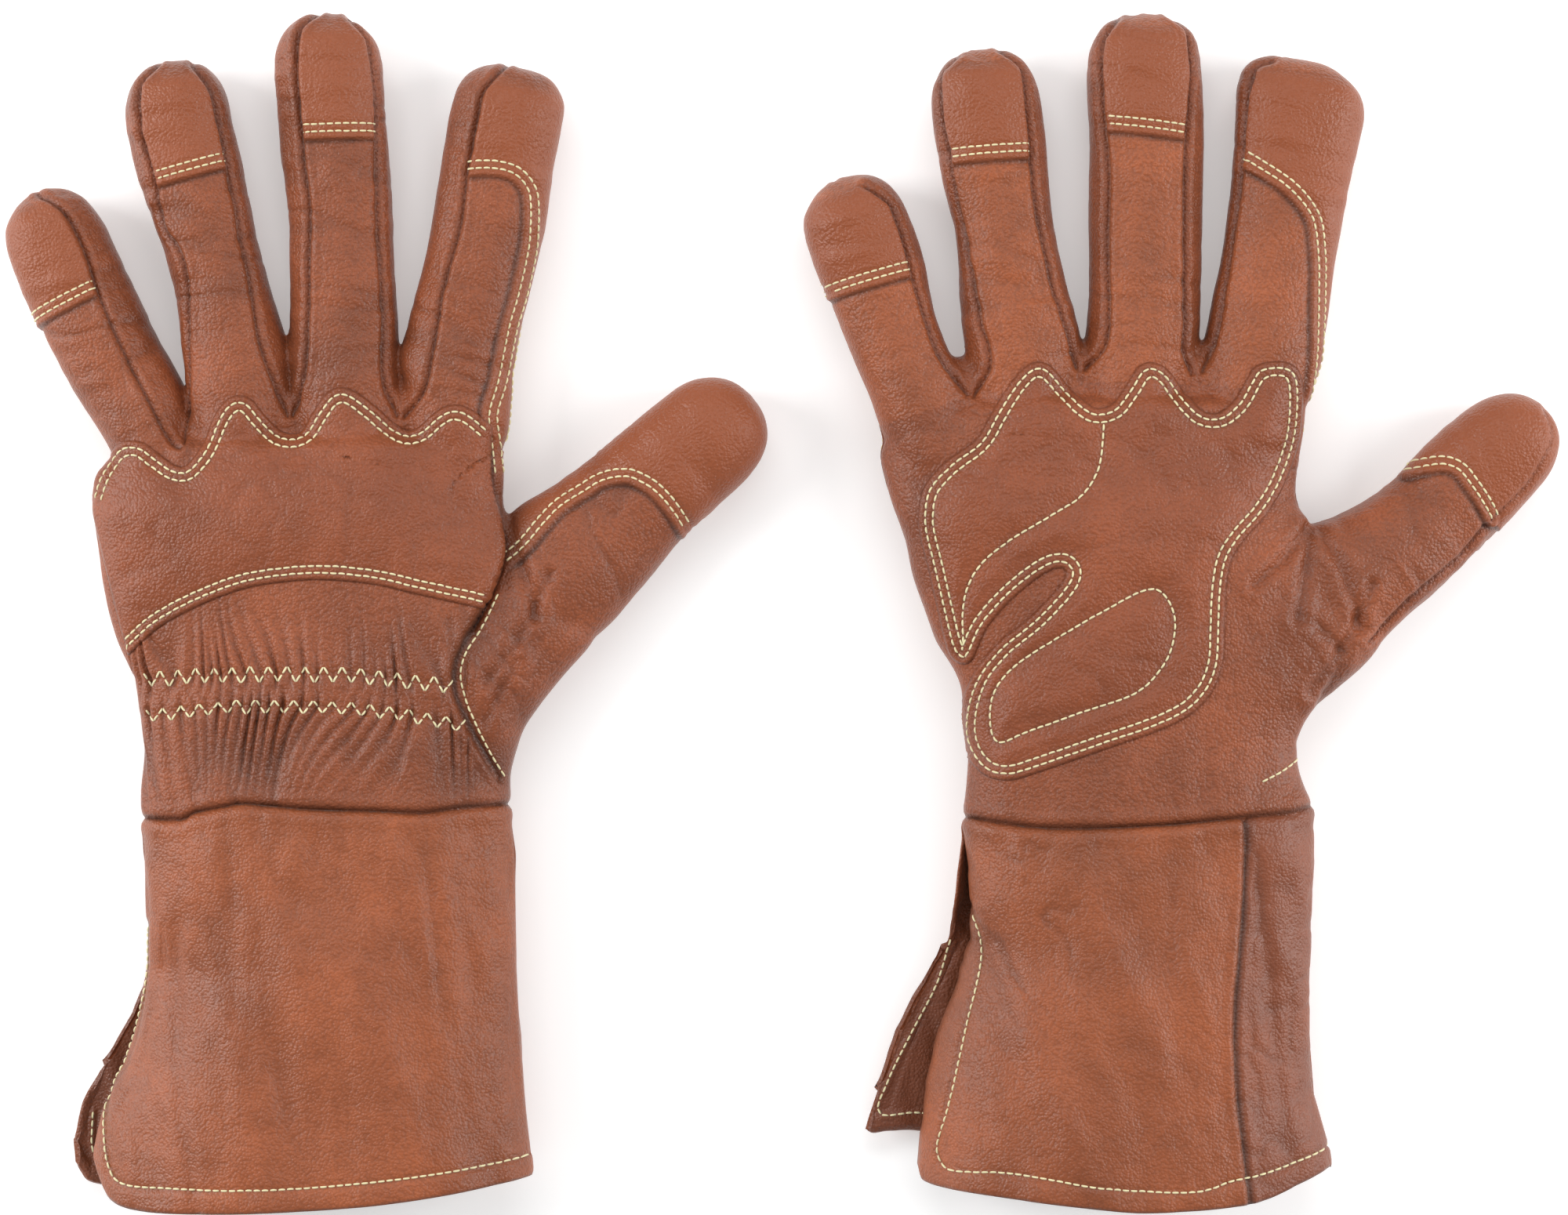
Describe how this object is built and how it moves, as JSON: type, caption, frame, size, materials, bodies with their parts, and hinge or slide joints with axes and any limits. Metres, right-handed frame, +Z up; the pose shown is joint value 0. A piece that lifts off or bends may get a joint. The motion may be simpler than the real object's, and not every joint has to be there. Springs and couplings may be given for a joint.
{
  "type": "welding gloves",
  "caption": "Pair of leather gauntlet welding gloves laid flat, one back up and one palm up, with sewn knuckle, palm and fingertip patches, elastic wrists and slit cuffs.",
  "frame": {"origin": "middle of the pair's footprint, on the surface that the gloves lie on", "axes": "+X across the pair, from the little finger's side to the thumb's side of each glove; +Y from the cuffs to the fingertips; +Z up"},
  "size_m": [0.4335, 0.3348, 0.044],
  "materials": {
    "hand_leather": "soft grained goat leather, tan brown, satin",
    "wrist_leather": "soft grained goat leather, darker tan brown, gathered",
    "gusset_leather": "soft grained goat leather, tan brown, satin",
    "tip_leather": "second layer of grained leather, light tan, satin",
    "patch_leather": "second layer of grained leather, tan brown, satin",
    "cuff_leather": "smoother split leather, orange tan, satin",
    "elastic": "woven elastic band, cream",
    "thread": "heat-resistant sewing thread, pale cream yellow"
  },
  "bodies": {
    "left_hand": {"left_back_panel": "hand_leather", "left_knuckle_patch": "patch_leather", "left_palm_panel": "hand_leather", "left_palm_patch": "patch_leather", "left_wrist_elastic": "elastic", "left_wrist_panel": "wrist_leather"},
    "left_cuff": {"left_cuff_back": "cuff_leather", "left_cuff_palm": "cuff_leather"},
    "left_pinky": {"left_pinky_back_strip": "hand_leather", "left_pinky_inner_fourchette": "gusset_leather", "left_pinky_palm_strip": "hand_leather"},
    "left_pinky_tip": {"left_pinky_tip_cap": "tip_leather"},
    "left_ring": {"left_ring_back_strip": "hand_leather", "left_ring_inner_fourchette": "gusset_leather", "left_ring_outer_fourchette": "gusset_leather", "left_ring_palm_strip": "hand_leather"},
    "left_ring_tip": {"left_ring_tip_cap": "tip_leather"},
    "left_middle": {"left_middle_back_strip": "hand_leather", "left_middle_inner_fourchette": "gusset_leather", "left_middle_outer_fourchette": "gusset_leather", "left_middle_palm_strip": "hand_leather"},
    "left_middle_tip": {"left_middle_tip_cap": "tip_leather"},
    "left_index": {"left_index_back_strip": "hand_leather", "left_index_outer_fourchette": "gusset_leather", "left_index_palm_strip": "hand_leather", "left_index_side_wrap": "tip_leather"},
    "left_index_tip": {"left_index_tip_cap": "tip_leather"},
    "left_thumb": {"left_thumb_back_panel": "hand_leather", "left_thumb_palm_panel": "hand_leather"},
    "left_thumb_tip": {"left_thumb_tip_cap": "tip_leather"},
    "right_hand": {"right_back_panel": "hand_leather", "right_knuckle_patch": "patch_leather", "right_palm_panel": "hand_leather", "right_palm_patch": "patch_leather", "right_wrist_elastic": "elastic", "right_wrist_panel": "wrist_leather"},
    "right_cuff": {"right_cuff_back": "cuff_leather", "right_cuff_palm": "cuff_leather"},
    "right_pinky": {"right_pinky_back_strip": "hand_leather", "right_pinky_inner_fourchette": "gusset_leather", "right_pinky_palm_strip": "hand_leather"},
    "right_pinky_tip": {"right_pinky_tip_cap": "tip_leather"},
    "right_ring": {"right_ring_back_strip": "hand_leather", "right_ring_inner_fourchette": "gusset_leather", "right_ring_outer_fourchette": "gusset_leather", "right_ring_palm_strip": "hand_leather"},
    "right_ring_tip": {"right_ring_tip_cap": "tip_leather"},
    "right_middle": {"right_middle_back_strip": "hand_leather", "right_middle_inner_fourchette": "gusset_leather", "right_middle_outer_fourchette": "gusset_leather", "right_middle_palm_strip": "hand_leather"},
    "right_middle_tip": {"right_middle_tip_cap": "tip_leather"},
    "right_index": {"right_index_back_strip": "hand_leather", "right_index_outer_fourchette": "gusset_leather", "right_index_palm_strip": "hand_leather", "right_index_side_wrap": "tip_leather"},
    "right_index_tip": {"right_index_tip_cap": "tip_leather"},
    "right_thumb": {"right_thumb_back_panel": "hand_leather", "right_thumb_palm_panel": "hand_leather"},
    "right_thumb_tip": {"right_thumb_tip_cap": "tip_leather"}
  },
  "joints": [
    {"name": "left_wrist_bend", "type": "hinge", "parent": "left_hand", "child": "left_cuff", "pos_m": [-0.1298, -0.05705, 0], "axis": [1, 0, 0], "range_deg": [0, 55]},
    {"name": "left_pinky_bend", "type": "hinge", "parent": "left_hand", "child": "left_pinky", "pos_m": [-0.1825, 0.04045, 0], "axis": [-0.9518, -0.3068, 0], "range_deg": [0, 70]},
    {"name": "left_pinky_tip_bend", "type": "hinge", "parent": "left_pinky", "child": "left_pinky_tip", "pos_m": [-0.19768, 0.08755, 0], "axis": [-0.9518, -0.3068, 0], "range_deg": [0, 60]},
    {"name": "left_ring_bend", "type": "hinge", "parent": "left_hand", "child": "left_ring", "pos_m": [-0.1554, 0.04735, 0], "axis": [-0.9892, -0.1463, 0], "range_deg": [0, 70]},
    {"name": "left_ring_tip_bend", "type": "hinge", "parent": "left_ring", "child": "left_ring_tip", "pos_m": [-0.16646, 0.12211, 0], "axis": [-0.9892, -0.1463, 0], "range_deg": [0, 60]},
    {"name": "left_middle_bend", "type": "hinge", "parent": "left_hand", "child": "left_middle", "pos_m": [-0.124, 0.05085, 0], "axis": [-0.9987, -0.0513, 0], "range_deg": [0, 70]},
    {"name": "left_middle_tip_bend", "type": "hinge", "parent": "left_middle", "child": "left_middle_tip", "pos_m": [-0.1282, 0.13254, 0], "axis": [-0.9987, -0.0513, 0], "range_deg": [0, 60]},
    {"name": "left_index_bend", "type": "hinge", "parent": "left_hand", "child": "left_index", "pos_m": [-0.0936, 0.04975, 0], "axis": [-0.9858, 0.1678, 0], "range_deg": [0, 70]},
    {"name": "left_index_tip_bend", "type": "hinge", "parent": "left_index", "child": "left_index_tip", "pos_m": [-0.08125, 0.12231, 0], "axis": [-0.9858, 0.1678, 0], "range_deg": [0, 60]},
    {"name": "left_thumb_bend", "type": "hinge", "parent": "left_hand", "child": "left_thumb", "pos_m": [-0.0654, 0.01315, 0], "axis": [-0.6295, 0.777, 0], "range_deg": [0, 45]},
    {"name": "left_thumb_tip_bend", "type": "hinge", "parent": "left_thumb", "child": "left_thumb_tip", "pos_m": [-0.04019, 0.03357, 0], "axis": [-0.6295, 0.777, 0], "range_deg": [0, 50]},
    {"name": "right_glove_lift", "type": "slide", "parent": "left_hand", "child": "right_hand", "axis": [0, 0, 1], "range_m": [0, 0.15]},
    {"name": "right_wrist_bend", "type": "hinge", "parent": "right_hand", "child": "right_cuff", "pos_m": [0.1001, -0.05965, 0.036], "axis": [-1, 0, 0], "range_deg": [0, 55]},
    {"name": "right_pinky_bend", "type": "hinge", "parent": "right_hand", "child": "right_pinky", "pos_m": [0.0382, 0.05475, 0.026], "axis": [0.9514, 0.308, 0], "range_deg": [0, 70]},
    {"name": "right_pinky_tip_bend", "type": "hinge", "parent": "right_pinky", "child": "right_pinky_tip", "pos_m": [0.02606, 0.09226, 0.024], "axis": [0.9514, 0.308, 0], "range_deg": [0, 60]},
    {"name": "right_ring_bend", "type": "hinge", "parent": "right_hand", "child": "right_ring", "pos_m": [0.066, 0.06045, 0.026], "axis": [0.9941, 0.1081, 0], "range_deg": [0, 70]},
    {"name": "right_ring_tip_bend", "type": "hinge", "parent": "right_ring", "child": "right_ring_tip", "pos_m": [0.05879, 0.12675, 0.024], "axis": [0.9941, 0.1081, 0], "range_deg": [0, 60]},
    {"name": "right_middle_bend", "type": "hinge", "parent": "right_hand", "child": "right_middle", "pos_m": [0.0978, 0.06305, 0.026], "axis": [0.9997, -0.0239, 0], "range_deg": [0, 70]},
    {"name": "right_middle_tip_bend", "type": "hinge", "parent": "right_middle", "child": "right_middle_tip", "pos_m": [0.09947, 0.13313, 0.024], "axis": [0.9997, -0.0239, 0], "range_deg": [0, 60]},
    {"name": "right_index_bend", "type": "hinge", "parent": "right_hand", "child": "right_index", "pos_m": [0.1311, 0.06085, 0.026], "axis": [0.9909, -0.1349, 0], "range_deg": [0, 70]},
    {"name": "right_index_tip_bend", "type": "hinge", "parent": "right_index", "child": "right_index_tip", "pos_m": [0.13968, 0.12383, 0.024], "axis": [0.9909, -0.1349, 0], "range_deg": [0, 60]},
    {"name": "right_thumb_bend", "type": "hinge", "parent": "right_hand", "child": "right_thumb", "pos_m": [0.1578, 0.01045, 0.026], "axis": [0.6372, -0.7707, 0], "range_deg": [0, 45]},
    {"name": "right_thumb_tip_bend", "type": "hinge", "parent": "right_thumb", "child": "right_thumb_tip", "pos_m": [0.18439, 0.03243, 0.024], "axis": [0.6372, -0.7707, 0], "range_deg": [0, 50]}
  ]
}
